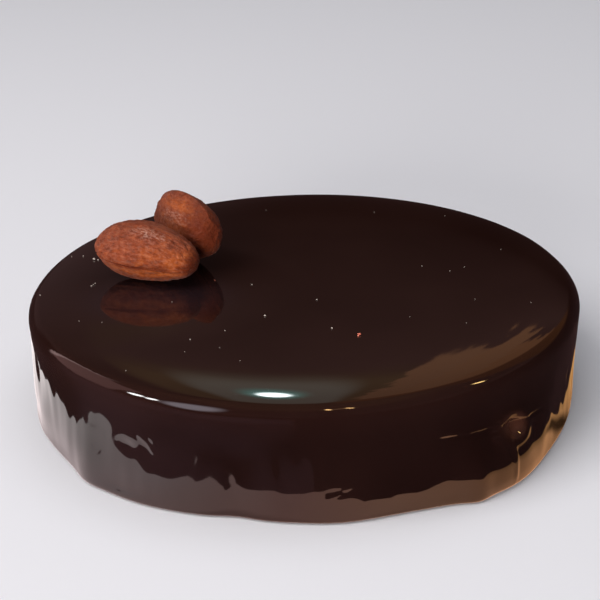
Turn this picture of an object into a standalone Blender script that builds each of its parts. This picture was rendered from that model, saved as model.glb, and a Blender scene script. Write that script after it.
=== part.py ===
"""A low round chocolate cake under a mirror glaze, with two cocoa beans lying on its top.

Metres, +Z up. The origin is the middle of the flat base that the cake stands on. Directions round
the cake are degrees from +X towards +Y, so the front is at -90.
"""

import math

import bpy
import numpy as np
from mathutils import Matrix, Vector

MM = 0.001

# Driving dimensions of the cake
CAKE_RADIUS = 71 * MM
CAKE_HEIGHT = 30 * MM
RIM_RADIUS = 3.7 * MM
SHOULDER_DROP = 0.85 * MM
SHOULDER_REACH = 5 * MM
WALL_TAPER = 1.3 * MM

# The foot, where the glaze ran down, bulges out and sets on the table
FOOT_RADIUS = 70.6 * MM
BULGE_TOP = 20 * MM
BULGE_FULL = 6 * MM
TOE_HEIGHT = 1.1 * MM
TOE_ROUND = 0.6 * MM

# Pools of glaze in the foot: direction, half width in degrees, reach past the foot's own radius
FOOT_POOLS = (
    (-166, 12, 0.5 * MM),
    (-104, 4.5, -1.0 * MM),
    (-84, 9, 1.2 * MM),
    (-58, 3, 1.3 * MM),
    (-51, 14, 3.9 * MM),
    (-6, 17, -0.8 * MM),
    (24, 14, 2.2 * MM),
    (66, 10, 1.0 * MM),
    (98, 15, 2.6 * MM),
    (142, 12, 1.6 * MM),
)

# Where the whole wall leans out towards its foot: direction, half width in degrees, reach
LEANS = (
    (-137, 5, 1.2 * MM),
    (-127, 14, 2.0 * MM),
)
LEAN_TOP = 24 * MM
LEAN_SWEEP = 1.08

# Slow waves in the glaze on the wall: how many go round, height, lean in turns per metre of height
WALL_WAVES = (
    (7, 0.16 * MM, 14),
    (11, 0.13 * MM, -22),
    (17, 0.10 * MM, 30),
    (27, 0.07 * MM, -36),
)
WAVE_FADE_BELOW_RIM = 10 * MM
WAVE_FADE_ABOVE_BASE = 3 * MM

# Marks in the wall: direction, height above the table
BLISTER_AT = (-47.7, 14.2 * MM)
BLISTER_HALF_WIDTH = 4.8 * MM
BLISTER_HALF_HEIGHT = 3.2 * MM
BLISTER_LIP = 0.55 * MM
BLISTER_DENT = 0.9 * MM
BLISTER_LIP_SHARE = 0.4
BLISTER_DENT_SHARE = 0.65
DRIP_AT = -49
DRIP_HALF_WIDTH = 0.7 * MM
DRIP_HEIGHT = 0.25 * MM
DRIP_START = 3 * MM
DRIP_END = 4 * MM
CREASE_FROM = (-67, 17.3 * MM)
CREASE_TO = (-36, 13.5 * MM)
CREASE_HALF_WIDTH = 0.6 * MM
CREASE_DEPTH = 0.16 * MM
CREASE_LIP_RISE = 1.6
CREASE_END_SHARE = 0.12

# Dimples where the glaze caught: direction, height, half width, half height, depth
DIMPLES = (
    (-84.5, 7.8 * MM, 3.0 * MM, 1.3 * MM, 0.15 * MM),
    (-121.5, 14.4 * MM, 1.9 * MM, 2.2 * MM, 0.34 * MM),
    (-125.8, 14.0 * MM, 2.2 * MM, 1.4 * MM, 0.34 * MM),
    (-21.5, 14.0 * MM, 1.5 * MM, 2.5 * MM, 0.30 * MM),
    (118, 10.5 * MM, 2.2 * MM, 2.6 * MM, 0.35 * MM),
    (33, 14.0 * MM, 1.8 * MM, 3.4 * MM, 0.30 * MM),
)

# How finely the cake is faceted
COLUMN_STEP = 3.0
FINE_COLUMN_STEP = 1.5
FINE_FROM, FINE_TO = -66, -27
TOP_RINGS = (54 * MM, 60 * MM, 64 * MM)
RIM_STEPS = 5
WALL_STEPS = 9
FOOT_STEPS = 6
FOOT_STEP_SWEEP = 1.6

# Form of a bean. Its long ridges: how many go round, height as a share of the girth
BEAN_GAP = 0.3 * MM
BEAN_SLICES = 26
BEAN_SIDES = 18
BEAN_RIDGES = ((3, 0.026), (5, 0.016))
BEAN_FLATNESS = 0.22

# The cocoa beans: half length, half width and half thickness; pointedness of the tail and head ends,
# where 1 is a round cone and less is blunter; how much fatter the head is; bow of the long axis;
# turn, pitch and roll in degrees; place on the top; where the ridges start
BEANS = {
    "bean_front": {
        "half_sizes": (14.6 * MM, 8.9 * MM, 7.5 * MM),
        "ends": (1.22, 0.81),
        "taper": -0.15,
        "bow": 1.3 * MM,
        "pose": (-22, 4.9, 8.3),
        "at": (-40.5 * MM, 2.7 * MM),
        "phase": 0.4,
    },
    "bean_back": {
        "half_sizes": (14.2 * MM, 9.0 * MM, 6.3 * MM),
        "ends": (0.65, 0.84),
        "taper": 0.05,
        "bow": 0.1 * MM,
        "pose": (122, 6.1, 88),
        "at": (-30.5 * MM, 17.7 * MM),
        "phase": 2.1,
    },
}

# Linear colours with roughness and clear coat
GLAZE = ((0.022, 0.009, 0.007), 0.06, 1.0)
BEAN_SKIN = ((0.19, 0.052, 0.022), 0.7, 0.0)


def hump(distance, half_width):
    """1 in the middle, falling smoothly to almost nothing at twice the half width."""
    return np.exp(-((distance / half_width) ** 2))


def ease(share):
    """0 below 0, 1 above 1 and a smooth step between."""
    share = np.clip(share, 0, 1)
    return share * share * (3 - 2 * share)


def turned(angle, direction):
    """Degrees from a direction to each angle, the short way round."""
    return (angle - direction + 180) % 360 - 180


def along_wall(angle, direction):
    """Metres along the wall from a direction to each angle."""
    return np.radians(turned(angle, direction)) * CAKE_RADIUS


def rim_start():
    """Slope in radians, radius and height at which the flat shoulder goes over into the round rim."""
    slope = math.atan(SHOULDER_DROP / SHOULDER_REACH)
    radius = CAKE_RADIUS - RIM_RADIUS * (1 - math.sin(slope))
    return slope, radius, CAKE_HEIGHT - SHOULDER_DROP


def rim_centre_height():
    slope, _, height = rim_start()
    return height - RIM_RADIUS * math.cos(slope)


def top_height(radius):
    """Height of the nearly flat top, which sinks a little towards the rim."""
    _, edge, _ = rim_start()
    return CAKE_HEIGHT - SHOULDER_DROP * math.exp((radius - edge) / SHOULDER_REACH)


def foot_radius(angle):
    reach = sum(out * hump(turned(angle, at), width) for at, width, out in FOOT_POOLS)
    return FOOT_RADIUS + reach


def lean(angle, height):
    """How far the wall leans out at a height, more the lower it is."""
    reach = sum(out * hump(turned(angle, at), width) for at, width, out in LEANS)
    return reach * np.clip(1 - height / LEAN_TOP, 0, 1) ** LEAN_SWEEP


def wall_radius(angle, height):
    """Radius of the wall and of its foot, without the marks."""
    top = rim_centre_height()
    straight = CAKE_RADIUS - WALL_TAPER * (top - height) / top
    bulge = (foot_radius(angle) - straight) * ease((BULGE_TOP - height) / (BULGE_TOP - BULGE_FULL))
    toe = np.clip(1 - height / TOE_HEIGHT, 0, 1)
    return straight + bulge + lean(angle, height) - TOE_ROUND * (1 - np.sqrt(1 - toe**2))


def waves(angle, height):
    """Slow waves of the glaze, which fade out at the rim and on the table."""
    below_rim = ease((rim_centre_height() - height) / WAVE_FADE_BELOW_RIM)
    fade = below_rim * ease(height / WAVE_FADE_ABOVE_BASE)
    wave = sum(
        size * np.sin(np.radians(count * angle) + math.tau * lean * height + count)
        for count, size, lean in WALL_WAVES
    )
    return fade * wave


def blister(angle, height):
    """A burst bubble with a raised lip, and the drip that ran down from it."""
    across = along_wall(angle, BLISTER_AT[0])
    up = height - BLISTER_AT[1]
    ring = np.hypot(across / BLISTER_HALF_WIDTH, up / BLISTER_HALF_HEIGHT)
    lip = BLISTER_LIP * hump(ring - 1, BLISTER_LIP_SHARE)
    dent = BLISTER_DENT * hump(ring, BLISTER_DENT_SHARE)
    below = ease((-up - BLISTER_HALF_HEIGHT / 2) / DRIP_START) * ease(height / DRIP_END)
    drip = hump(along_wall(angle, DRIP_AT), DRIP_HALF_WIDTH)
    return lip - dent + DRIP_HEIGHT * drip * below


def crease(angle, height):
    """A shallow scar that runs round the wall on both sides of the blister."""
    share = turned(angle, CREASE_FROM[0]) / turned(CREASE_TO[0], CREASE_FROM[0])
    line = CREASE_FROM[1] + (CREASE_TO[1] - CREASE_FROM[1]) * share
    ends = ease(share / CREASE_END_SHARE) * ease((1 - share) / CREASE_END_SHARE)
    groove = hump(height - line, CREASE_HALF_WIDTH)
    lip = hump(height - line - CREASE_LIP_RISE * CREASE_HALF_WIDTH, CREASE_HALF_WIDTH)
    return CREASE_DEPTH * ends * (lip - groove)


def dimples(angle, height):
    return -sum(
        depth * hump(np.hypot(along_wall(angle, at) / across, (height - up) / tall), 1)
        for at, up, across, tall, depth in DIMPLES
    )


def wall_ring(angle, height):
    """Radius of the finished wall at a height, for all angles."""
    marks = waves(angle, height) + blister(angle, height) + crease(angle, height)
    return wall_radius(angle, height) + marks + dimples(angle, height)


def column_angles():
    """Directions of the mesh columns, closer together where the blister is."""
    coarse = np.arange(-180, 180, COLUMN_STEP)
    coarse = coarse[(coarse < FINE_FROM) | (coarse > FINE_TO)]
    fine = np.arange(FINE_FROM, FINE_TO + FINE_COLUMN_STEP / 2, FINE_COLUMN_STEP)
    return np.sort(np.concatenate([coarse, fine]))


def cake_rings(angle):
    """(radius, height) of each ring from the top down to the base, radius for all angles."""
    slope, _, _ = rim_start()
    centre = rim_centre_height()
    rings = [(np.full_like(angle, radius), top_height(radius)) for radius in TOP_RINGS]
    for turn in np.linspace(slope, math.pi / 2, RIM_STEPS):
        radius = CAKE_RADIUS - RIM_RADIUS * (1 - math.sin(turn))
        rings.append((np.full_like(angle, radius), centre + RIM_RADIUS * math.cos(turn)))
    heights = list(np.linspace(centre, BULGE_FULL, WALL_STEPS + 1)[1:])
    shares = np.linspace(1, 0, FOOT_STEPS + 1)[1:]
    heights += [BULGE_FULL * share**FOOT_STEP_SWEEP for share in shares]
    rings += [(wall_ring(angle, height), height) for height in heights]
    return rings


def solid_from_rings(name, rings, first, last):
    """A closed mesh object: rings of points bridged in order, with a fan to a point at each end."""
    count = len(rings[0])
    points = [first, *np.concatenate(rings).tolist(), last]
    end = len(points) - 1
    faces = []
    for i in range(count):
        j = (i + 1) % count
        faces.append((0, 1 + i, 1 + j))
        faces.append((end, end - count + j, end - count + i))
    for ring in range(len(rings) - 1):
        start = 1 + ring * count
        for i in range(count):
            j = (i + 1) % count
            faces.append((start + i, start + count + i, start + count + j, start + j))
    mesh = bpy.data.meshes.new(name)
    mesh.from_pydata(points, [], faces)
    mesh.validate()
    mesh.shade_smooth()
    obj = bpy.data.objects.new(name, mesh)
    bpy.context.scene.collection.objects.link(obj)
    return obj


def material(name, colour, roughness, coat):
    made = bpy.data.materials.new(name)
    made.use_nodes = True
    shader = made.node_tree.nodes["Principled BSDF"]
    shader.inputs["Base Color"].default_value = (*colour, 1)
    shader.inputs["Roughness"].default_value = roughness
    shader.inputs["Metallic"].default_value = 0
    shader.inputs["Coat Weight"].default_value = coat
    return made


def make_cake():
    """The glazed cake: one solid, flat underneath."""
    angle = column_angles()
    turn = np.radians(angle)
    rings = [
        np.stack([radius * np.cos(turn), radius * np.sin(turn), np.full_like(turn, height)], 1)
        for radius, height in cake_rings(angle)
    ]
    cake = solid_from_rings("cake", rings, (0, 0, top_height(0)), (0, 0, 0))
    cake.data.materials.append(material("glaze", *GLAZE))
    return cake


def bean_rings(half_sizes, ends, taper, bow, phase):
    """Slices of a bean along X from head to tail: keeled at its sides, with soft long ridges."""
    length, width, thickness = half_sizes
    tail, head = ends
    side = np.linspace(0, math.tau, BEAN_SIDES, endpoint=False)
    flank = np.sin(side) * np.abs(np.sin(side)) ** BEAN_FLATNESS
    rings = []
    for slice_turn in np.linspace(0, math.pi, BEAN_SLICES + 1)[1:-1]:
        along = math.cos(slice_turn)
        bluntness = tail + (head - tail) * (1 + along) / 2
        girth = math.sin(slice_turn) ** bluntness * (1 + taper * along)
        ridges = 1 + sum(high * np.sin(count * side + phase + along) for count, high in BEAN_RIDGES)
        across = width * girth * ridges * np.cos(side) + bow * math.sin(slice_turn) ** 2
        rings.append(
            np.stack([np.full_like(side, length * along), across, thickness * girth * ridges * flank], 1)
        )
    return rings


def make_bean(name, half_sizes, ends, taper, bow, pose, at, phase):
    """A bean rolled about its own length, pitched, turned about Z, and set down on the cake."""
    length = half_sizes[0]
    rings = bean_rings(half_sizes, ends, taper, bow, phase)
    bean = solid_from_rings(name, rings, (length, 0, 0), (-length, 0, 0))
    turn, pitch, roll = (math.radians(angle) for angle in pose)
    stance = (
        Matrix.Rotation(turn, 4, "Z") @ Matrix.Rotation(pitch, 4, "Y") @ Matrix.Rotation(roll, 4, "X")
    )
    lowest = min((stance @ vertex.co).z for vertex in bean.data.vertices)
    rest = Vector((*at, CAKE_HEIGHT + BEAN_GAP - lowest))
    bean.matrix_world = Matrix.Translation(rest) @ stance
    bean.data.materials.append(material(name + "_skin", *BEAN_SKIN))
    return bean


def main():
    for obj in list(bpy.data.objects):
        bpy.data.objects.remove(obj)
    make_cake()
    for name, bean in BEANS.items():
        make_bean(name, **bean)


main()
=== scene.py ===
"""The looks of the chocolate cake: poured mirror glaze, two wrinkled cocoa beans and a little dust.

Metres, +Z up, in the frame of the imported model. Directions round the cake are degrees from +X
towards +Y, so the front is at -90. Colours are linear.
"""

import math

import bmesh
import bpy
import numpy as np
from mathutils import Matrix, Vector, noise

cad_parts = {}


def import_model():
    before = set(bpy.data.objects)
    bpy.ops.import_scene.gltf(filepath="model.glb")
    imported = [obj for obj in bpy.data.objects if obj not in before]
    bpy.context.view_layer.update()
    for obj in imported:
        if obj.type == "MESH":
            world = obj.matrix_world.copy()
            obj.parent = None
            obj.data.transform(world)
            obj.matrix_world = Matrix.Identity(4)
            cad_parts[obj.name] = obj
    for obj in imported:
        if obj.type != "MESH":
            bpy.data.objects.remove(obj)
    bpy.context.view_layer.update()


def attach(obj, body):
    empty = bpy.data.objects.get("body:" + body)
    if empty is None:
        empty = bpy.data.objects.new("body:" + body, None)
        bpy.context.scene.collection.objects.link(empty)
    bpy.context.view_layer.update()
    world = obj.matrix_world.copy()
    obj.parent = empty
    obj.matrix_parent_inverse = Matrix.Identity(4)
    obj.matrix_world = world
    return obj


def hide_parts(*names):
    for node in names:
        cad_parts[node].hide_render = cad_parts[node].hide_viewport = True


MM = 0.001

# The cake's form, as its solid has it
CAKE_RADIUS = 71 * MM
CAKE_HEIGHT = 30 * MM
RIM_RADIUS = 3.7 * MM
SHOULDER_DROP = 0.85 * MM
SHOULDER_REACH = 5 * MM
WALL_TAPER = 1.3 * MM
FOOT_RADIUS = 70.6 * MM
BULGE_TOP = 20 * MM
BULGE_FULL = 6 * MM
TOE_HEIGHT = 1.1 * MM
TOE_ROUND = 0.6 * MM

# Pools of glaze in the foot: direction, half width in degrees, reach past the foot's own radius
FOOT_POOLS = (
    (-166, 12, 0.5 * MM),
    (-104, 4.5, -1.0 * MM),
    (-84, 9, 1.2 * MM),
    (-58, 3, 1.3 * MM),
    (-51, 14, 3.9 * MM),
    (-6, 17, -0.8 * MM),
    (24, 14, 2.2 * MM),
    (66, 10, 1.0 * MM),
    (98, 15, 2.6 * MM),
    (142, 12, 1.6 * MM),
)

# Where the whole wall leans out towards its foot: direction, half width in degrees, reach
LEANS = (
    (-137, 5, 1.2 * MM),
    (-127, 14, 2.0 * MM),
)
LEAN_TOP = 24 * MM
LEAN_SWEEP = 1.08

# Waves in the glaze on the wall: how many go round, height, lean in turns per metre of height
WALL_WAVES = (
    (7, 0.16 * MM, 14),
    (11, 0.13 * MM, -22),
    (17, 0.10 * MM, 30),
    (27, 0.07 * MM, -36),
)
WAVE_FADE_BELOW_RIM = 10 * MM
WAVE_FADE_ABOVE_BASE = 3 * MM

# Marks in the wall: direction, height above the table
BLISTER_AT = (-47.7, 14.2 * MM)
BLISTER_HALF_WIDTH = 4.8 * MM
BLISTER_HALF_HEIGHT = 3.2 * MM
BLISTER_LIP = 0.55 * MM
BLISTER_DENT = 0.9 * MM
BLISTER_LIP_SHARE = 0.4
BLISTER_DENT_SHARE = 0.65
DRIP_AT = -49
DRIP_HALF_WIDTH = 0.7 * MM
DRIP_HEIGHT = 0.25 * MM
DRIP_START = 3 * MM
DRIP_END = 4 * MM
CREASE_FROM = (-67, 17.3 * MM)
CREASE_TO = (-36, 13.5 * MM)
CREASE_HALF_WIDTH = 0.6 * MM
CREASE_DEPTH = 0.16 * MM
CREASE_LIP_RISE = 1.6
CREASE_END_SHARE = 0.12

# Dimples where the glaze caught: direction, height, half width, half height, depth
DIMPLES = (
    (-84.5, 7.8 * MM, 3.0 * MM, 1.3 * MM, 0.15 * MM),
    (-121.5, 14.4 * MM, 1.9 * MM, 2.2 * MM, 0.34 * MM),
    (-125.8, 14.0 * MM, 2.2 * MM, 1.4 * MM, 0.34 * MM),
    (-21.5, 14.0 * MM, 1.5 * MM, 2.5 * MM, 0.30 * MM),
    (118, 10.5 * MM, 2.2 * MM, 2.6 * MM, 0.35 * MM),
    (33, 14.0 * MM, 1.8 * MM, 3.4 * MM, 0.30 * MM),
)

# A spot is 1 out to the first of these shares of its reach and 0 from the second on. Each is given
# by its middle and reach in millimetres
SPOT_FULL = 0.3
SPOT_END = 1.5

# The glaze's tone drifts slowly at random; on the wall it is a little deeper, as painted shade
TOP_SPOT = ((0, 0, 31), (400, 400, 8))
TOP_COLOURS = ((0.35, (0.0100, 0.0034, 0.0027)), (0.65, (0.0135, 0.0050, 0.0040)))
WALL_SHADE_COLOURS = ((0.35, (0.0068, 0.0023, 0.0019)), (0.65, (0.0092, 0.0034, 0.0028)))
TONE_NOISE = (28, 2)

# The glaze's gloss: least roughness, what uneven polish adds to it, and the mirror's strength
GLAZE_ROUGHNESS = 0.025
POLISH_ROUGHNESS = 0.03
POLISH_NOISE = (90, 3)
GLAZE_IOR = 1.5

# The thinned glaze in the burst bubble
BLISTER_SPOT = ((47.4, -52.1, 14.2), (4.2, 4.2, 3.0))
BLISTER_COLOUR = (0.045, 0.016, 0.010)

# A painted reflection on the glaze in front of the beans: lighter and mauve, and rougher there
PAINTED_REFLECTION_SPOT = ((-37, -9, 30), (17, 13, 4))
PAINTED_REFLECTION_COLOUR = (0.0160, 0.0080, 0.0095)
PAINTED_REFLECTION_ROUGHNESS = 0.08

# The top swells very slightly under the beans, which draws their mirror image together; the faint
# ripple on all the glaze is a share of the swell's height
SWELL_SPOT = ((-46, -4, 30), (30, 24, 5))
SWELL_HEIGHT = 0.62 * MM
FAINT_RIPPLE_SHARE = 0.002
FAINT_RIPPLE_NOISE = (120, 2)

# Fine folds that only the looks have. Each is a ridge from one (direction, height) to another, with
# a half width and a rise
FOLDS = (
    ((-52.4, 13.2 * MM), (-49.2, 4.4 * MM), 0.35 * MM, 0.10 * MM),
    ((-43.3, 13.9 * MM), (-38.2, 13.3 * MM), 0.45 * MM, 0.22 * MM),
    ((-38.8, 14.6 * MM), (-35.6, 17.2 * MM), 0.30 * MM, 0.12 * MM),
    ((-62.8, 15.7 * MM), (-59.0, 16.1 * MM), 0.30 * MM, 0.12 * MM),
    ((-54.0, 13.3 * MM), (-50.9, 13.3 * MM), 0.45 * MM, 0.20 * MM),
    ((-87.3, 6.0 * MM), (-83.4, 8.0 * MM), 0.35 * MM, 0.09 * MM),
    ((-84.2, 8.0 * MM), (-80.8, 9.7 * MM), 0.30 * MM, 0.09 * MM),
    ((-92.9, 4.5 * MM), (-92.2, 3.5 * MM), 0.35 * MM, 0.14 * MM),
    ((-123.6, 18.8 * MM), (-119.4, 13.0 * MM), 0.70 * MM, 0.14 * MM),
    ((-139.5, 14.6 * MM), (-130.5, 14.6 * MM), 3.00 * MM, 0.06 * MM),
)
FOLD_END_SHARE = 0.25

# Fine ripples that only the looks have: waves round the cake, turns per metre up, steepest slope
RIPPLE_SEED = 7
RIPPLE_COUNT = 26
RIPPLE_TURNS = (24, 110)
RIPPLE_LEAN = 55
RIPPLE_SLOPE = 0.006
RIM_WOBBLE = ((9, 0.05 * MM), (14, 0.04 * MM), (23, 0.03 * MM))

# How finely the glaze is faceted: degrees between columns, from a direction to the next
COLUMN_STEPS = (
    (-180, 0.36),
    (-132, 0.25),
    (-118, 0.36),
    (-96, 0.25),
    (-78, 0.36),
    (-68, 0.22),
    (-54, 0.12),
    (-42, 0.20),
    (-34, 0.36),
    (2, 0.75),
    (180, 0),
)
TOP_RINGS = 20
TOP_RINGS_FROM = 4 * MM
RIM_STEPS = 16
WALL_STEPS = 66
FOOT_STEPS = 14
FOOT_STEP_SWEEP = 1.5

# The cocoa beans, as their solids have them: "ends" is how pointed tail and head are, "pose" turn,
# pitch and roll in degrees, "at" the place on the top. "painted_light", "painted_sheen" and "dark"
# are where light, sheen and shade are painted on the skin: painted light in its orange colours, a
# painted sheen of thicker dust grains and painted shade in the deep colour; middle and reach in
# millimetres along the bean's own axes. "sheen_strength" is how thick the dust of the painted
# sheen lies there and "deep_share" how far all the skin is darkened towards the deep colour
BEAN_GAP = 0.3 * MM
BEAN_SLICES = 160
BEAN_SIDES = 216
BEAN_RIDGES = ((3, 0.026), (5, 0.016))
BEAN_FLATNESS = 0.22
BEANS = {
    "bean_front": {
        "half_sizes": (14.6 * MM, 8.9 * MM, 7.5 * MM),
        "ends": (1.22, 0.81),
        "taper": -0.15,
        "bow": 1.3 * MM,
        "pose": (-22, 4.9, 8.3),
        "at": (-40.5 * MM, 2.7 * MM),
        "phase": 0.4,
        "painted_light": ((3, -6.5, -1.9), (11, 4.0, 1.6)),
        "painted_sheen": ((1.5, -1.0, 6.4), (4.5, 1.6, 2.4)),
        "sheen_strength": 0.7,
        "dark": ((14, 0, 0), (1.9, 7, 7)),
        "deep_share": 0.0,
    },
    "bean_back": {
        "half_sizes": (14.2 * MM, 9.0 * MM, 6.3 * MM),
        "ends": (0.65, 0.84),
        "taper": 0.05,
        "bow": 0.1 * MM,
        "pose": (122, 6.1, 88),
        "at": (-30.5 * MM, 17.7 * MM),
        "phase": 2.1,
        "painted_light": ((-3.0, 6.8, -2.9), (9, 1.6, 1.6)),
        "painted_sheen": ((-3, 4.2, -5.0), (7, 1.8, 2.0)),
        "sheen_strength": 0.45,
        "dark": ((-13, 2, -1), (7, 8, 8)),
        "deep_share": 0.2,
    },
}

# Colours of the beans' skin: its common ones, where it is brighter (random patches and painted
# light), in its painted shade and under dust and painted sheen
BEAN_SKIN = (
    (0.34, (0.100, 0.017, 0.0050)),
    (0.45, (0.150, 0.027, 0.0080)),
    (0.56, (0.190, 0.038, 0.0120)),
    (0.70, (0.265, 0.064, 0.0230)),
)
BEAN_ORANGE = ((0.35, (0.18, 0.034, 0.007)), (0.5, (0.30, 0.063, 0.011)), (0.68, (0.40, 0.10, 0.018)))
BEAN_DEEP = (0.075, 0.0105, 0.003)
DUST_AND_SHEEN_COLOUR = (0.42, 0.24, 0.19)

# The shaded furrow of the seam, along the bean's own axes
SEAM_SHADE = ((0, -8.2, -0.4), (13.5, 4.5, 0.42))

# Pattern of the skin. A noise is its scale, detail and roughness; the ramps turn it into shares
STREAK_SCALE = (0.45, 1, 1)
MOTTLE_NOISE = (900, 5, 0.65)
PATCH_NOISE = (130, 2)
PATCH_SHARES = ((0.52, (0, 0, 0)), (0.70, (0.6, 0.6, 0.6)))
DUST_AND_SHEEN_NOISE = (1900, 3, 0.7)
DUST_AND_SHEEN_SHARES = ((0.45, (0, 0, 0)), (0.65, (1, 1, 1)))
# Shares of painted light, of thin dust all over, of painted shade and of the seam's painted shade
PAINTED_LIGHT_SHARE = 0.8
THIN_DUST = 0.15
PAINTED_SHADE_SHARE = 0.8
FURROW_SHARE = 0.85
CRINKLE_NOISES = ((700, 4, 0.6), (2200, 3, 0.6))
CRINKLE_HEIGHT = 0.25 * MM
CRINKLE_STRENGTH = 0.8
SKIN_SETTINGS = {
    "Roughness": 0.6,
    "Specular IOR Level": 0.2,
    "Sheen Weight": 0.05,
    "Sheen Roughness": 0.4,
    "Sheen Tint": (1.0, 0.85, 0.85, 1),
}

# Wrinkles of the skin's mesh: how often along and across a bean, per millimetre, and how deep
LONG_WRINKLES = (0.09, 0.42, 0.38 * MM)
CRINKLES = (0.55, 0.9, 0.24 * MM)
PITS = (2.2, 2.2, 0.10 * MM)
WRINKLE_SHIFT = 10

# A bean's seam: a groove just above its keel, with a raised lip below; share of its girth
SEAM_AT = 3.20
SEAM_HALF_WIDTH = 0.055
SEAM_DEPTH = 0.055
SEAM_LIP_AT = 3.36
SEAM_LIP_HALF_WIDTH = 0.09
SEAM_LIP = 0.018
SEAM_WANDER = 0.04
SEAM_WAVES = 3

# Camera: the middle of the picture falls on CAMERA_AIM
CAMERA_ELEVATION = 24.65
CAMERA_DISTANCE = 433 * MM
CAMERA_TARGET_HEIGHT = 15 * MM
CAMERA_AIM = (-1.0 * MM, 3.66 * MM, 22.97 * MM)
CAMERA_ROLL = -1.44
CAMERA_LENS = 98.7
CAMERA_SENSOR = 36
CAMERA_NEAREST = 10 * MM


def hump(distance, half_width):
    """1 in the middle, falling smoothly to almost nothing at twice the half width."""
    return np.exp(-((distance / half_width) ** 2))


def ease(share):
    """0 below 0, 1 above 1 and a smooth step between."""
    share = np.clip(share, 0, 1)
    return share * share * (3 - 2 * share)


def turned(angle, direction):
    """Degrees from a direction to each angle, the short way round."""
    return (angle - direction + 180) % 360 - 180


def along_wall(angle, direction):
    """Metres along the wall from a direction to each angle."""
    return np.radians(turned(angle, direction)) * CAKE_RADIUS


def rim_start():
    """Slope in radians, radius and height at which the flat shoulder goes over into the round rim."""
    slope = math.atan(SHOULDER_DROP / SHOULDER_REACH)
    radius = CAKE_RADIUS - RIM_RADIUS * (1 - math.sin(slope))
    return slope, radius, CAKE_HEIGHT - SHOULDER_DROP


def rim_centre_height():
    slope, _, height = rim_start()
    return height - RIM_RADIUS * math.cos(slope)


def top_height(radius):
    """Height of the nearly flat top, which sinks a little towards the rim."""
    _, edge, _ = rim_start()
    return CAKE_HEIGHT - SHOULDER_DROP * math.exp((radius - edge) / SHOULDER_REACH)


def foot_radius(angle):
    reach = sum(out * hump(turned(angle, at), width) for at, width, out in FOOT_POOLS)
    return FOOT_RADIUS + reach


def lean(angle, height):
    """How far the wall leans out at a height, more the lower it is."""
    reach = sum(out * hump(turned(angle, at), width) for at, width, out in LEANS)
    return reach * np.clip(1 - height / LEAN_TOP, 0, 1) ** LEAN_SWEEP


def wall_radius(angle, height):
    """Radius of the wall and of its foot, without the marks."""
    top = rim_centre_height()
    straight = CAKE_RADIUS - WALL_TAPER * (top - height) / top
    bulge = (foot_radius(angle) - straight) * ease((BULGE_TOP - height) / (BULGE_TOP - BULGE_FULL))
    toe = np.clip(1 - height / TOE_HEIGHT, 0, 1)
    return straight + bulge + lean(angle, height) - TOE_ROUND * (1 - np.sqrt(1 - toe**2))


def wave_fade(height):
    below_rim = ease((rim_centre_height() - height) / WAVE_FADE_BELOW_RIM)
    return below_rim * ease(height / WAVE_FADE_ABOVE_BASE)


def waves(angle, height):
    """Slow waves of the glaze, which fade out at the rim and on the table."""
    wave = sum(
        size * np.sin(np.radians(count * angle) + math.tau * lean * height + count)
        for count, size, lean in WALL_WAVES
    )
    return wave_fade(height) * wave


def ripples(angle, height):
    """Fine ripples of many sizes, none of them steeper than the next."""
    chance = np.random.default_rng(RIPPLE_SEED)
    total = np.zeros_like(angle)
    for _ in range(RIPPLE_COUNT):
        count = chance.integers(*RIPPLE_TURNS)
        lean = chance.uniform(-RIPPLE_LEAN, RIPPLE_LEAN)
        start = chance.uniform(0, math.tau)
        high = RIPPLE_SLOPE * CAKE_RADIUS / math.hypot(count, math.tau * lean * CAKE_RADIUS)
        total += high * np.sin(np.radians(count * angle) + math.tau * lean * height + start)
    return wave_fade(height) * total


def blister(angle, height):
    """A burst bubble with a raised lip, and the drip that ran down from it."""
    across = along_wall(angle, BLISTER_AT[0])
    up = height - BLISTER_AT[1]
    ring = np.hypot(across / BLISTER_HALF_WIDTH, up / BLISTER_HALF_HEIGHT)
    lip = BLISTER_LIP * hump(ring - 1, BLISTER_LIP_SHARE)
    dent = BLISTER_DENT * hump(ring, BLISTER_DENT_SHARE)
    below = ease((-up - BLISTER_HALF_HEIGHT / 2) / DRIP_START) * ease(height / DRIP_END)
    drip = hump(along_wall(angle, DRIP_AT), DRIP_HALF_WIDTH)
    return lip - dent + DRIP_HEIGHT * drip * below


def crease(angle, height):
    """A shallow scar that runs round the wall on both sides of the blister."""
    share = turned(angle, CREASE_FROM[0]) / turned(CREASE_TO[0], CREASE_FROM[0])
    line = CREASE_FROM[1] + (CREASE_TO[1] - CREASE_FROM[1]) * share
    ends = ease(share / CREASE_END_SHARE) * ease((1 - share) / CREASE_END_SHARE)
    groove = hump(height - line, CREASE_HALF_WIDTH)
    lip = hump(height - line - CREASE_LIP_RISE * CREASE_HALF_WIDTH, CREASE_HALF_WIDTH)
    return CREASE_DEPTH * ends * (lip - groove)


def dimples(angle, height):
    return -sum(
        depth * hump(np.hypot(along_wall(angle, at) / across, (height - up) / tall), 1)
        for at, up, across, tall, depth in DIMPLES
    )


def fold(angle, height, start, end, half_width, rise):
    """A fine ridge along a line on the wall, fading out at both ends."""
    along = along_wall(angle, start[0])
    up = height - start[1]
    run = math.radians(end[0] - start[0]) * CAKE_RADIUS
    climb = end[1] - start[1]
    share = np.clip((along * run + up * climb) / (run**2 + climb**2), 0, 1)
    off = np.hypot(along - share * run, up - share * climb)
    ends = ease(share / FOLD_END_SHARE) * ease((1 - share) / FOLD_END_SHARE)
    return rise * ends * hump(off, half_width)


def wall_ring(angle, height):
    """Radius of the finished wall at a height, for all angles."""
    marks = waves(angle, height) + blister(angle, height) + crease(angle, height)
    fine = ripples(angle, height) + sum(fold(angle, height, *line) for line in FOLDS)
    return wall_radius(angle, height) + marks + dimples(angle, height) + fine


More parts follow.
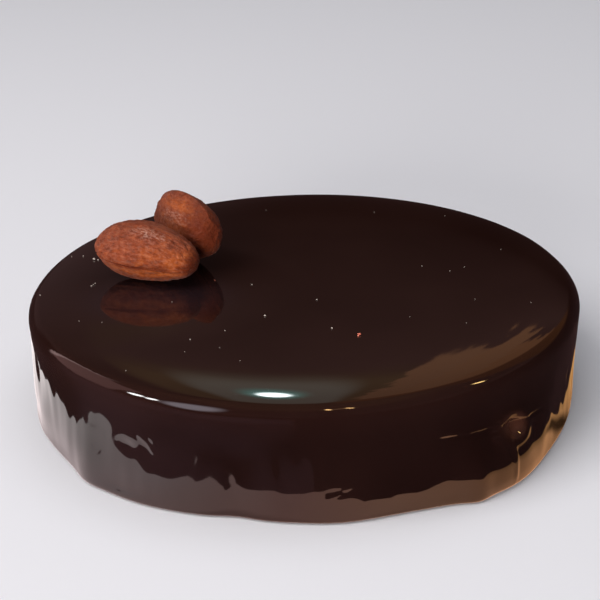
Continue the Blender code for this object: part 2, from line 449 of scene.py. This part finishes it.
def rim_wobble(angle):
    """How far the rim draws in, unevenly, where the glaze ran over it."""
    wave = sum(size * np.sin(np.radians(count * angle) + count) for count, size in RIM_WOBBLE)
    return wave - sum(size for _, size in RIM_WOBBLE)


def column_angles():
    spans = zip(COLUMN_STEPS[:-1], COLUMN_STEPS[1:])
    return np.concatenate([np.arange(start, end, step) for (start, step), (end, _) in spans])


def glaze_rings(angle):
    """(radius, height) of each ring from the top down to the base, radius for all angles."""
    slope, edge, _ = rim_start()
    centre = rim_centre_height()
    rings = []
    for radius in np.linspace(TOP_RINGS_FROM, edge, TOP_RINGS, endpoint=False):
        rings.append((np.full_like(angle, radius), top_height(radius)))
    for turn in np.linspace(slope, math.pi / 2, RIM_STEPS):
        radius = CAKE_RADIUS - RIM_RADIUS * (1 - math.sin(turn))
        wobble = rim_wobble(angle) * math.sin(2 * turn) ** 2
        rings.append((radius + wobble, centre + RIM_RADIUS * math.cos(turn)))
    heights = list(np.linspace(centre, BULGE_FULL, WALL_STEPS + 1)[1:])
    shares = np.linspace(1, 0, FOOT_STEPS + 1)[1:]
    heights += [BULGE_FULL * share**FOOT_STEP_SWEEP for share in shares]
    rings += [(wall_ring(angle, height), height) for height in heights]
    return rings


def solid_from_rings(name, rings, first, last):
    """A closed mesh object: rings of points bridged in order, with a fan to a point at each end."""
    count = len(rings[0])
    points = [first, *np.concatenate(rings).tolist(), last]
    end = len(points) - 1
    faces = []
    for i in range(count):
        j = (i + 1) % count
        faces.append((0, 1 + i, 1 + j))
        faces.append((end, end - count + j, end - count + i))
    for ring in range(len(rings) - 1):
        start = 1 + ring * count
        for i in range(count):
            j = (i + 1) % count
            faces.append((start + i, start + count + i, start + count + j, start + j))
    mesh = bpy.data.meshes.new(name)
    mesh.from_pydata(points, [], faces)
    mesh.shade_smooth()
    obj = bpy.data.objects.new(name, mesh)
    bpy.context.scene.collection.objects.link(obj)
    return obj


def make_glaze():
    angle = column_angles()
    turn = np.radians(angle)
    rings = [
        np.stack([radius * np.cos(turn), radius * np.sin(turn), np.full_like(turn, height)], 1)
        for radius, height in glaze_rings(angle)
    ]
    glaze = solid_from_rings("glaze_coat", rings, (0, 0, top_height(0)), (0, 0, 0))
    glaze.data.materials.append(glaze_material())
    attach(glaze, "root")
    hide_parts("cake")
    return glaze


class Nodes:
    """A short way to write a material's node tree."""

    def __init__(self, tree):
        self.tree = tree

    def add(self, kind, **settings):
        node = self.tree.nodes.new(kind)
        for key, value in settings.items():
            setattr(node, key, value)
        return node

    def link(self, source, target):
        self.tree.links.new(source, target)

    def colour(self, value):
        node = self.add("ShaderNodeRGB")
        node.outputs["Color"].default_value = (*value, 1)
        return node.outputs["Color"]

    def noise(self, vector, scale, detail, roughness=0.5, output="Fac"):
        node = self.add("ShaderNodeTexNoise")
        node.inputs["Scale"].default_value = scale
        node.inputs["Detail"].default_value = detail
        node.inputs["Roughness"].default_value = roughness
        self.link(vector, node.inputs["Vector"])
        return node.outputs[output]

    def ramp(self, factor, stops):
        """A colour ramp through (position, colour) stops."""
        node = self.add("ShaderNodeValToRGB")
        elements = node.color_ramp.elements
        while len(elements) < len(stops):
            elements.new(0.5)
        for element, (position, colour) in zip(elements, stops):
            element.position = position
            element.color = (*colour, 1)
        self.link(factor, node.inputs["Fac"])
        return node.outputs["Color"]

    def spot(self, vector, middle, reach):
        """1 in an ellipsoid of the given middle and reach in millimetres, fading out round it."""
        place = self.add("ShaderNodeVectorMath", operation="MULTIPLY_ADD")
        self.link(vector, place.inputs[0])
        place.inputs[1].default_value = [1 / (size * MM) for size in reach]
        place.inputs[2].default_value = [-at / size for at, size in zip(middle, reach)]
        away = self.add("ShaderNodeVectorMath", operation="LENGTH")
        self.link(place.outputs["Vector"], away.inputs[0])
        return self.inside(away.outputs["Value"], SPOT_FULL, SPOT_END)

    def inside(self, value, full, end):
        """1 up to a value and 0 from another on, with a smooth step between."""
        step = self.add("ShaderNodeMapRange", interpolation_type="SMOOTHSTEP")
        self.link(value, step.inputs["Value"])
        step.inputs["From Min"].default_value = end
        step.inputs["From Max"].default_value = full
        return step.outputs["Result"]

    def mix(self, factor, first, second):
        node = self.add("ShaderNodeMix", data_type="RGBA")
        self.link(factor, node.inputs["Factor"])
        self.link(first, node.inputs["A"])
        self.link(second, node.inputs["B"])
        return node.outputs["Result"]

    def math(self, operation, *values):
        node = self.add("ShaderNodeMath", operation=operation)
        for socket, value in zip(node.inputs, values):
            if isinstance(value, (int, float)):
                socket.default_value = value
            else:
                self.link(value, socket)
        return node.outputs["Value"]

    def bump(self, shader, height, distance, strength=1.0):
        node = self.add("ShaderNodeBump")
        node.inputs["Strength"].default_value = strength
        node.inputs["Distance"].default_value = distance
        self.link(height, node.inputs["Height"])
        self.link(node.outputs["Normal"], shader.inputs["Normal"])


def new_material(name):
    made = bpy.data.materials.new(name)
    made.use_nodes = True
    return made, Nodes(made.node_tree), made.node_tree.nodes["Principled BSDF"]


def glaze_material():
    """Dark chocolate under a mirror gloss, with slow drifts in tone and polish, painted shade on the
    wall and a painted reflection in front of the beans.
    """
    made, nodes, shader = new_material("glaze_coat")
    place = nodes.add("ShaderNodeTexCoord").outputs["Object"]
    drift = nodes.noise(place, *TONE_NOISE)
    # The wall's colour is a little deeper than the top's: painted shade
    wall, top = nodes.ramp(drift, WALL_SHADE_COLOURS), nodes.ramp(drift, TOP_COLOURS)
    colour = nodes.mix(nodes.spot(place, *TOP_SPOT), wall, top)
    colour = nodes.mix(nodes.spot(place, *BLISTER_SPOT), colour, nodes.colour(BLISTER_COLOUR))
    # Painted reflection: lighter mauve where the beans' mirror image and shadow are dark
    painted_reflection = nodes.spot(place, *PAINTED_REFLECTION_SPOT)
    nodes.link(nodes.mix(painted_reflection, colour, nodes.colour(PAINTED_REFLECTION_COLOUR)), shader.inputs["Base Color"])
    polish = nodes.noise(place, *POLISH_NOISE)
    gloss = nodes.math("MULTIPLY_ADD", polish, POLISH_ROUGHNESS, GLAZE_ROUGHNESS)
    nodes.link(nodes.math("MULTIPLY_ADD", painted_reflection, PAINTED_REFLECTION_ROUGHNESS, gloss), shader.inputs["Roughness"])
    ripple = nodes.noise(place, *FAINT_RIPPLE_NOISE)
    swell = nodes.spot(place, *SWELL_SPOT)
    height = nodes.math("MULTIPLY_ADD", ripple, FAINT_RIPPLE_SHARE, swell)
    nodes.bump(shader, height, SWELL_HEIGHT)
    shader.inputs["IOR"].default_value = GLAZE_IOR
    return made


def bean_rings(half_sizes, ends, taper, bow, phase):
    """Slices of a bean along X from head to tail: keeled at its sides, with soft long ridges."""
    length, width, thickness = half_sizes
    tail, head = ends
    side = np.linspace(0, math.tau, BEAN_SIDES, endpoint=False)
    flank = np.sin(side) * np.abs(np.sin(side)) ** BEAN_FLATNESS
    rings = []
    for slice_turn in np.linspace(0, math.pi, BEAN_SLICES + 1)[1:-1]:
        along = math.cos(slice_turn)
        bluntness = tail + (head - tail) * (1 + along) / 2
        girth = math.sin(slice_turn) ** bluntness * (1 + taper * along)
        ridges = 1 + sum(high * np.sin(count * side + phase + along) for count, high in BEAN_RIDGES)
        seam = (side + SEAM_WANDER * math.sin(SEAM_WAVES * along + phase)) % math.tau
        ridges -= SEAM_DEPTH * hump(seam - SEAM_AT, SEAM_HALF_WIDTH)
        ridges += SEAM_LIP * hump(seam - SEAM_LIP_AT, SEAM_LIP_HALF_WIDTH)
        across = width * girth * ridges * np.cos(side) + bow * math.sin(slice_turn) ** 2
        rings.append(
            np.stack([np.full_like(side, length * along), across, thickness * girth * ridges * flank], 1)
        )
    return rings


def make_bean(name, half_sizes, ends, taper, bow, pose, at, phase, **places):
    """A bean set down on the cake, with wrinkles that run along its length."""
    length = half_sizes[0]
    rings = bean_rings(half_sizes, ends, taper, bow, phase)
    bean = solid_from_rings(name + "_shell", rings, (length, 0, 0), (-length, 0, 0))
    turn, pitch, roll = (math.radians(angle) for angle in pose)
    stance = (
        Matrix.Rotation(turn, 4, "Z") @ Matrix.Rotation(pitch, 4, "Y") @ Matrix.Rotation(roll, 4, "X")
    )
    lowest = min((stance @ vertex.co).z for vertex in bean.data.vertices)
    wrinkle(bean.data, phase)
    bean.matrix_world = Matrix.Translation((*at, CAKE_HEIGHT + BEAN_GAP - lowest)) @ stance
    bean.data.materials.append(bean_material(name + "_shell", phase, **places))
    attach(bean, "root")
    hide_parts(name)
    return bean


def wrinkle(mesh, phase):
    """Sinks wrinkles into a bean: long ones along it, crinkles and fine pits all over."""
    shift = Vector((phase, 2 * phase, 0)) * WRINKLE_SHIFT

    def uneven(place, along, across, deep):
        x, y, z = place
        return deep * noise.noise(Vector((x * along, y * across, z * across)) + shift)

    outward = [vertex.normal.copy() for vertex in mesh.vertices]
    for vertex, normal in zip(mesh.vertices, outward):
        place = vertex.co / MM
        creases = abs(uneven(place, *LONG_WRINKLES)) + abs(uneven(place, *CRINKLES))
        vertex.co -= normal * (creases + uneven(place, *PITS))


def skin_colour(nodes, place, phase, painted_light, painted_sheen, sheen_strength, dark, deep_share):
    """Orange-brown, mottled in brown and dark red, with pale dust and a shaded seam, and with painted
    light, a painted sheen and painted shade.
    """
    streaks = nodes.add("ShaderNodeMapping")
    streaks.inputs["Scale"].default_value = STREAK_SCALE
    streaks.inputs["Location"].default_value = (phase, phase, 0)
    nodes.link(place, streaks.inputs["Vector"])
    mottle = nodes.noise(streaks.outputs["Vector"], *MOTTLE_NOISE)
    patches = nodes.ramp(nodes.noise(place, *PATCH_NOISE), PATCH_SHARES)
    # Painted light: the orange colours where light falls brighter on the skin
    bright = nodes.math("MULTIPLY", nodes.spot(place, *painted_light), PAINTED_LIGHT_SHARE)
    bright = nodes.math("MAXIMUM", patches, bright)
    skin = nodes.mix(bright, nodes.ramp(mottle, BEAN_SKIN), nodes.ramp(mottle, BEAN_ORANGE))
    grains = nodes.ramp(nodes.noise(streaks.outputs["Vector"], *DUST_AND_SHEEN_NOISE), DUST_AND_SHEEN_SHARES)
    # Dust, thicker where it makes a painted sheen
    dust_and_sheen = nodes.math("MULTIPLY_ADD", nodes.spot(place, *painted_sheen), sheen_strength, THIN_DUST)
    skin = nodes.mix(nodes.math("MULTIPLY", grains, dust_and_sheen), skin, nodes.colour(DUST_AND_SHEEN_COLOUR))
    # Painted shade in the deep colour, over the deep share that lies on all the skin
    shadow = nodes.math("MULTIPLY_ADD", nodes.spot(place, *dark), PAINTED_SHADE_SHARE - deep_share, deep_share)
    furrow = nodes.math("MULTIPLY", nodes.spot(place, *SEAM_SHADE), FURROW_SHARE)
    return nodes.mix(nodes.math("MAXIMUM", shadow, furrow), skin, nodes.colour(BEAN_DEEP))


def bean_material(name, phase, **places):
    """Dry skin with fine crinkles."""
    made, nodes, shader = new_material(name)
    place = nodes.add("ShaderNodeTexCoord").outputs["Object"]
    nodes.link(skin_colour(nodes, place, phase, **places), shader.inputs["Base Color"])
    for setting, value in SKIN_SETTINGS.items():
        shader.inputs[setting].default_value = value
    coarse, fine = (nodes.noise(place, *kind) for kind in CRINKLE_NOISES)
    nodes.bump(shader, nodes.math("ADD", coarse, fine), CRINKLE_HEIGHT, CRINKLE_STRENGTH)
    return made


# Light. The glaze mirrors what is round it, so the soft lights that fill the room are kept out of
# the mirror, and what it does show is set apart: a glowing disc for a pale cake board, a dim room and a
# few lamps.
# The board's outline: direction, reach from the middle
BOARD_OUTLINE = (
    (-180, 86 * MM),
    (-176, 87 * MM),
    (-169, 87.5 * MM),
    (-165.5, 89.5 * MM),
    (-159.5, 92 * MM),
    (-158.7, 98.3 * MM),
    (-155, 100 * MM),
    (-153.2, 101.9 * MM),
    (-151, 101.4 * MM),
    (-149, 100.7 * MM),
    (-147.6, 100.4 * MM),
    (-146.4, 99.7 * MM),
    (-145.5, 98.2 * MM),
    (-144.9, 96.6 * MM),
    (-144, 96.4 * MM),
    (-140, 97 * MM),
    (-137, 94.5 * MM),
    (-129, 94.5 * MM),
    (-124, 95 * MM),
    (-120, 93.5 * MM),
    (-116.8, 92.2 * MM),
    (-114.3, 88.5 * MM),
    (-111.6, 88.3 * MM),
    (-109.5, 86.2 * MM),
    (-107.2, 83.3 * MM),
    (-106.4, 81.2 * MM),
    (-105.2, 80.6 * MM),
    (-102.9, 83.2 * MM),
    (-97, 90.5 * MM),
    (-94.5, 93 * MM),
    (-90, 93.5 * MM),
    (-84, 91 * MM),
    (-78, 81 * MM),
    (-72, 78.5 * MM),
    (-66, 80.5 * MM),
    (-60, 86 * MM),
    (-54, 86 * MM),
    (-48, 92 * MM),
    (-36, 90 * MM),
    (-30, 84 * MM),
    (-24, 82 * MM),
    (-18, 76 * MM),
    (-10, 75.5 * MM),
    (0, 76.5 * MM),
    (10, 78 * MM),
    (30, 84 * MM),
    (168, 90.5 * MM),
    (175, 85 * MM),
    (180, 86 * MM),
)
# Colours of the board's glow from left to right, painted light as it falls on the board
BOARD_COLOURS = (
    (0.0, (1.45, 1.35, 1.34)),
    (0.2, (1.7, 1.4, 1.42)),
    (0.5, (1.5, 0.85, 0.74)),
    (0.72, (2.0, 1.05, 0.68)),
    (0.86, (1.6, 0.75, 0.36)),
    (1.0, (0.65, 0.32, 0.10)),
)
# A painted shadow on the board close to the cake, and painted shade all round the cake's foot: reach,
# share of the board's light
BOARD_PAINTED_SHADOW = ((67.5, -26.5, 0), (3.2, 6.5, 50))
BOARD_PAINTED_SHADOW_SHARE = 0.9
BOARD_SHADE = ((71.5 * MM, 0.65), (73.5 * MM, 1.0))
FLOOR_COLOUR = (0.79, 0.78, 0.82)
ROOM_COLOUR = (0.15, 0.153, 0.16)
FLOOR_SIZE = 6.0
FLOOR_DROP = 0.4 * MM
DISC_SIDES = 720

# Soft lights: name, direction, elevation, distance, size, colour, power in watts
SOFT_LIGHTS = (
    ("key", -150, 50, 1.3, 0.9, (1.0, 0.98, 0.96), 10.5),
    ("front", -108, 2, 1.4, 0.8, (1.0, 0.97, 0.94), 43),
    ("top", 60, 82, 1.3, 1.2, (0.97, 0.98, 1.0), 5),
)

# What the glaze mirrors of the room: shades by elevation in degrees, and patches on them with
# direction, elevation, half width and half height in degrees, how square their corners are (0 to
# 2), softness, raggedness and colour
SKY_SHADES = (
    (-90, (0.08, 0.04, 0.04)),
    (0, (0.04, 0.02, 0.02)),
    (20, (0.02, 0.008, 0.006)),
    (27, (0.135, 0.073, 0.065)),
    (36, (0.07, 0.04, 0.035)),
    (55, (0.09, 0.05, 0.038)),
    (70, (0.22, 0.115, 0.065)),
    (90, (0.20, 0.11, 0.06)),
)
SKY_PATCHES = (
    ("veil", 116, 16, 20, 12, 1, 0.7, 0, (0.12, 0.07, 0.07)),
    ("back wall", 92, 45, 11, 16, 1, 0.35, 1.0, (0.25, 0.16, 0.082)),
    ("left wall", 169, 27, 20, 19, 2, 0.12, 5, (0.85, 0.46, 0.44)),
    ("left wall, pale edge", 150, 28, 1.6, 20, 1, 0.6, 4, (2.2, 1.5, 1.45)),
    ("right wall, upper part", 74, 52, 10.5, 14, 1, 0.3, 0, (0.36, 0.14, 0.055)),
    ("right wall", 68, 40, 8, 9.5, 2, 0.1, 5, (0.62, 0.27, 0.12)),
    ("right wall, near part", 79.6, 37.5, 4.3, 9.8, 2, 0.04, 5, (0.64, 0.30, 0.15)),
    ("right wall, step", 82.9, 37, 1.9, 9.9, 2, 0.04, 2, (0.62, 0.30, 0.16)),
    ("right wall, far part", 42, 40, 22, 20, 1, 0.35, 2, (0.24, 0.09, 0.03)),
    ("glow of the window", 92.3, 44, 5.5, 14.5, 1, 0.35, 0, (0.50, 0.45, 0.37)),
    ("teal rim of the window", 92.3, 38.2, 1.6, 3.2, 0, 0.9, 0, (0.55, 1.8, 1.6)),
    ("window", 92.3, 38.3, 1.2, 2.0, 0, 0.3, 0, (20, 22, 22)),
    ("left lamp 1", 195.5, 30.5, 3.0, 4.4, 0, 0.3, 0, (30, 30, 30)),
    ("left lamp 2", 202.2, 32.5, 2.6, 3.9, 0, 0.3, 0, (30, 30, 30)),
    ("left strip", 218.5, 38, 11.5, 13, 0, 0.4, 0, (3.0, 2.75, 3.1)),
    ("low left", 215, -12, 50, 22, 1, 0.9, 0, (0.20, 0.12, 0.15)),
    ("front lamp 1", -77.5, 64.7, 2.4, 3.2, 0, 0.3, 0, (34, 20, 8)),
    ("front lamp 2", -61, 64.8, 2.2, 3.2, 0, 0.3, 0, (34, 20, 8)),
    ("between the front lamps", -69, 64.7, 9, 1.2, 0, 0.5, 0, (2.5, 1.3, 0.6)),
    ("right lamp", -5.5, 42.5, 2.0, 3.6, 0, 0.3, 0, (34, 22, 8)),
)
SKY_FIRST_DIRECTION = -95
SKY_RAGGED_NOISE = (30, 5, 0.6)

# Specks on the top: place and longest side in millimetres
DUST = (
    (6.7, -30.4, 0.55),
    (-19.3, -30.2, 0.35),
    (-56.3, 18.4, 0.95),
    (-55.2, 18.0, 0.45),
    (-59.6, 21.5, 0.40),
    (-62.9, 22.4, 0.30),
    (-55.0, -0.2, 0.40),
    (-54.6, 0.6, 0.40),
    (-54.2, 1.4, 0.40),
    (-55.7, -22.1, 0.25),
    (-49.9, -23.4, 0.25),
    (-67.9, -3.5, 0.40),
    (-27.5, -34.9, 0.40),
    (-28.4, -41.6, 0.25),
    (-20.2, -39.9, 0.30),
    (-15.2, -47.3, 0.25),
    (-41.6, -50.1, 0.25),
    (3.3, -12.8, 0.45),
    (-9.7, -22.0, 0.60),
    (-13.3, -2.0, 0.30),
    (-33.3, -12.1, 0.35),
    (40.8, 45.5, 0.25),
    (20.8, 49.4, 0.25),
    (-10.3, 53.3, 0.25),
    (31.4, 7.9, 0.30),
    (38.4, 4.0, 0.25),
    (42.4, 6.5, 0.30),
    (53.5, 18.5, 0.30),
    (39.4, -29.1, 0.25),
    (26.0, -24.7, 0.25),
    (43.0, -14.7, 0.25),
    (56.7, -17.4, 0.25),
)
CRUMBS = ((13.2, -34.5, 0.9), (12.9, -35.2, 0.6), (-23.0, 1.5, 0.35))

# Form and finish of the specks: gap above the glaze, proportions, depth and number of dents
SPECK_GAP = 0.02 * MM
SPECK_SHAPE = (1, 0.7, 0.55)
SPECK_DENTS = 0.5
SPECK_DENT_SCALE = 3
SPECK_ROUGHNESS = 0.8
SPECK_NOISE = (3000, 2)
SPECK_BUMP = 0.05 * MM
DUST_COLOURS = ((0.3, (0.30, 0.25, 0.22)), (0.7, (0.55, 0.48, 0.44)))
CRUMB_COLOURS = ((0.3, (0.40, 0.08, 0.05)), (0.7, (0.70, 0.22, 0.15)))


def add_grain(mesh, number, x, y, size):
    """Adds an uneven grain that lies on the top, turned by as many radians as its number."""
    grain = bmesh.ops.create_icosphere(mesh, subdivisions=2, radius=0.5)["verts"]
    shift = Vector((number, 0, 0))
    turn = Matrix.Rotation(number, 3, "Z")
    stretch = Matrix.Diagonal([share * size * MM for share in SPECK_SHAPE])
    for vertex in grain:
        dent = SPECK_DENTS * noise.noise(vertex.co * SPECK_DENT_SCALE + shift)
        vertex.co = turn @ stretch @ (vertex.co * (1 + dent))
    lowest = min(vertex.co.z for vertex in grain)
    floor = top_height(math.hypot(x, y) * MM) + SPECK_GAP - lowest
    for vertex in grain:
        vertex.co += Vector((x * MM, y * MM, floor))


def speck_material(name, colours):
    made, nodes, shader = new_material(name)
    grainy = nodes.noise(nodes.add("ShaderNodeTexCoord").outputs["Object"], *SPECK_NOISE)
    nodes.link(nodes.ramp(grainy, colours), shader.inputs["Base Color"])
    shader.inputs["Roughness"].default_value = SPECK_ROUGHNESS
    nodes.bump(shader, grainy, SPECK_BUMP)
    return made


def make_specks(name, places, colours):
    """Uneven grains lying on the top, all of one kind in one piece."""
    mesh = bmesh.new()
    for number, place in enumerate(places):
        add_grain(mesh, number, *place)
    obj = bpy.data.objects.new(name, bpy.data.meshes.new(name))
    mesh.to_mesh(obj.data)
    mesh.free()
    obj.data.shade_smooth()
    bpy.context.scene.collection.objects.link(obj)
    obj.data.materials.append(speck_material(name, colours))
    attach(obj, "root")


def only_mirrored(obj):
    """Shows an object in mirrors only: it lights and shades nothing else."""
    obj.visible_camera = False
    obj.visible_diffuse = False
    obj.visible_shadow = False
    obj.visible_transmission = False


def disc(name, outline, height):
    """A flat disc whose radius is given by direction."""
    turn = np.linspace(-math.pi, math.pi, DISC_SIDES, endpoint=False)
    radius = np.interp(np.degrees(turn), *zip(*outline))
    points = np.stack([radius * np.cos(turn), radius * np.sin(turn), np.full_like(turn, height)], 1)
    mesh = bpy.data.meshes.new(name)
    mesh.from_pydata(points.tolist(), [], [tuple(range(DISC_SIDES))])
    obj = bpy.data.objects.new(name, mesh)
    bpy.context.scene.collection.objects.link(obj)
    return obj


def board_material():
    """A glow that changes from left to right and is darker at the cake's foot and in a painted shadow.
    """
    made = bpy.data.materials.new("board")
    made.use_nodes = True
    nodes = Nodes(made.node_tree)
    made.node_tree.nodes.clear()
    glow = nodes.add("ShaderNodeEmission")
    out = nodes.add("ShaderNodeOutputMaterial")
    nodes.link(glow.outputs["Emission"], out.inputs["Surface"])
    coordinates = nodes.add("ShaderNodeTexCoord")
    split = nodes.add("ShaderNodeSeparateXYZ")
    nodes.link(coordinates.outputs["Generated"], split.inputs["Vector"])
    nodes.link(nodes.ramp(split.outputs["X"], BOARD_COLOURS), glow.inputs["Color"])
    reach = nodes.add("ShaderNodeVectorMath", operation="LENGTH")
    nodes.link(coordinates.outputs["Object"], reach.inputs[0])
    light = nodes.add("ShaderNodeMapRange")
    nodes.link(reach.outputs["Value"], light.inputs["Value"])
    for end, (at, share) in zip(("Min", "Max"), BOARD_SHADE):
        light.inputs["From " + end].default_value = at
        light.inputs["To " + end].default_value = share
    # Painted shadow on the board close to the cake
    painted_shadow = nodes.spot(coordinates.outputs["Object"], *BOARD_PAINTED_SHADOW)
    unshadowed = nodes.math("MULTIPLY_ADD", painted_shadow, -BOARD_PAINTED_SHADOW_SHARE, 1)
    nodes.link(nodes.math("MULTIPLY", unshadowed, light.outputs["Result"]), glow.inputs["Strength"])
    return made


def make_board():
    board = disc("board", BOARD_OUTLINE, -FLOOR_DROP / 2)
    board.data.materials.append(board_material())
    only_mirrored(board)


def make_floor():
    floor = disc("floor", ((0, FLOOR_SIZE),), -FLOOR_DROP)
    made, _, shader = new_material("floor")
    shader.inputs["Base Color"].default_value = (*FLOOR_COLOUR, 1)
    shader.inputs["Roughness"].default_value = 1.0
    shader.inputs["Specular IOR Level"].default_value = 0.0
    floor.data.materials.append(made)
    floor.visible_glossy = False


def facing(direction, elevation, distance):
    """Place and turn of something that hangs in a direction and faces the cake."""
    turn, tilt = math.radians(direction), math.radians(elevation)
    out = Vector((math.cos(turn) * math.cos(tilt), math.sin(turn) * math.cos(tilt), math.sin(tilt)))
    return Matrix.Translation(out * distance) @ out.to_track_quat("Z", "Y").to_matrix().to_4x4()


def add_area(name, matrix, size, colour, power):
    light = bpy.data.lights.new(name, "AREA")
    light.shape = "SQUARE"
    light.size = size
    light.color = colour
    light.energy = power
    lamp = bpy.data.objects.new(name, light)
    lamp.matrix_world = matrix
    bpy.context.scene.collection.objects.link(lamp)
    return lamp


def make_soft_lights():
    """Broad studio lights for the beans and the floor, kept out of the glaze's mirror."""
    for name, direction, elevation, distance, size, colour, power in SOFT_LIGHTS:
        lamp = add_area(name, facing(direction, elevation, distance), size, colour, power)
        lamp.visible_glossy = False


def sky_patch(nodes, spot, shift, at, up, wide, tall, square, softness, ragged):
    """1 inside a patch of the room, whose edges are torn by the shift and more or less square."""
    torn = nodes.add("ShaderNodeVectorMath", operation="MULTIPLY_ADD")
    nodes.link(shift, torn.inputs[0])
    torn.inputs[1].default_value = (2 * ragged, 2 * ragged, 0)
    nodes.link(spot, torn.inputs[2])
    place = nodes.add("ShaderNodeVectorMath", operation="MULTIPLY_ADD")
    nodes.link(torn.outputs["Vector"], place.inputs[0])
    place.inputs[1].default_value = (1 / wide, 1 / tall, 0)
    place.inputs[2].default_value = (-at / wide, -up / tall, 0)
    for _ in range(square):
        squared = nodes.add("ShaderNodeVectorMath", operation="MULTIPLY")
        nodes.link(place.outputs["Vector"], squared.inputs[0])
        nodes.link(place.outputs["Vector"], squared.inputs[1])
        place = squared
    reach = nodes.add("ShaderNodeVectorMath", operation="LENGTH")
    nodes.link(place.outputs["Vector"], reach.inputs[0])
    return nodes.inside(reach.outputs["Value"], 1 - softness, 1 + softness)


def sky_colour(nodes):
    """The room as the glaze mirrors it, by direction and elevation in degrees."""
    way = nodes.add("ShaderNodeTexCoord").outputs["Generated"]
    split = nodes.add("ShaderNodeSeparateXYZ")
    nodes.link(way, split.inputs["Vector"])
    turn = nodes.math("ARCTAN2", split.outputs["Y"], split.outputs["X"])
    turn = nodes.math("MULTIPLY", turn, math.degrees(1))
    direction = nodes.math("WRAP", turn, SKY_FIRST_DIRECTION + 360, SKY_FIRST_DIRECTION)
    elevation = nodes.math("MULTIPLY", nodes.math("ARCSINE", split.outputs["Z"]), math.degrees(1))
    height = nodes.math("MULTIPLY_ADD", elevation, 1 / 180, 0.5)
    colour = nodes.ramp(height, tuple((0.5 + at / 180, shade) for at, shade in SKY_SHADES))
    spot = nodes.add("ShaderNodeCombineXYZ")
    nodes.link(direction, spot.inputs["X"])
    nodes.link(elevation, spot.inputs["Y"])
    shift = nodes.add("ShaderNodeVectorMath", operation="SUBTRACT")
    nodes.link(nodes.noise(way, *SKY_RAGGED_NOISE, "Color"), shift.inputs[0])
    shift.inputs[1].default_value = (0.5, 0.5, 0)
    for _, *form, shade in SKY_PATCHES:
        inside = sky_patch(nodes, spot.outputs["Vector"], shift.outputs["Vector"], *form)
        colour = nodes.mix(inside, colour, nodes.colour(shade))
    return colour


def make_world():
    """A pale room for the camera and the fill light; the glaze mirrors a darker one."""
    world = bpy.data.worlds.new("room")
    world.use_nodes = True
    nodes = Nodes(world.node_tree)
    world.node_tree.nodes.clear()
    mirrored = nodes.add("ShaderNodeLightPath").outputs["Is Glossy Ray"]
    room = nodes.add("ShaderNodeBackground")
    shade = nodes.mix(mirrored, nodes.colour(ROOM_COLOUR), sky_colour(nodes))
    nodes.link(shade, room.inputs["Color"])
    out = nodes.add("ShaderNodeOutputWorld")
    nodes.link(room.outputs["Background"], out.inputs["Surface"])
    bpy.context.scene.world = world


def make_camera():
    tilt = math.radians(CAMERA_ELEVATION)
    away = Vector((0, -math.cos(tilt), math.sin(tilt))) * CAMERA_DISTANCE
    place = Vector((0, 0, CAMERA_TARGET_HEIGHT)) + away
    look = (Vector(CAMERA_AIM) - place).to_track_quat("-Z", "Y").to_matrix().to_4x4()
    camera = bpy.data.objects.new("camera", bpy.data.cameras.new("camera"))
    camera.data.lens = CAMERA_LENS
    camera.data.sensor_width = CAMERA_SENSOR
    camera.data.clip_start = CAMERA_NEAREST
    camera.matrix_world = (
        Matrix.Translation(place) @ look @ Matrix.Rotation(math.radians(CAMERA_ROLL), 4, "Z")
    )
    bpy.context.scene.collection.objects.link(camera)
    bpy.context.scene.camera = camera


def main():
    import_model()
    make_glaze()
    for name, bean in BEANS.items():
        make_bean(name, **bean)
    make_specks("dust_specks", DUST, DUST_COLOURS)
    make_specks("bean_crumbs", CRUMBS, CRUMB_COLOURS)
    make_floor()
    make_board()
    make_soft_lights()
    make_world()
    make_camera()
    bpy.context.scene.view_settings.view_transform = "Standard"


main()
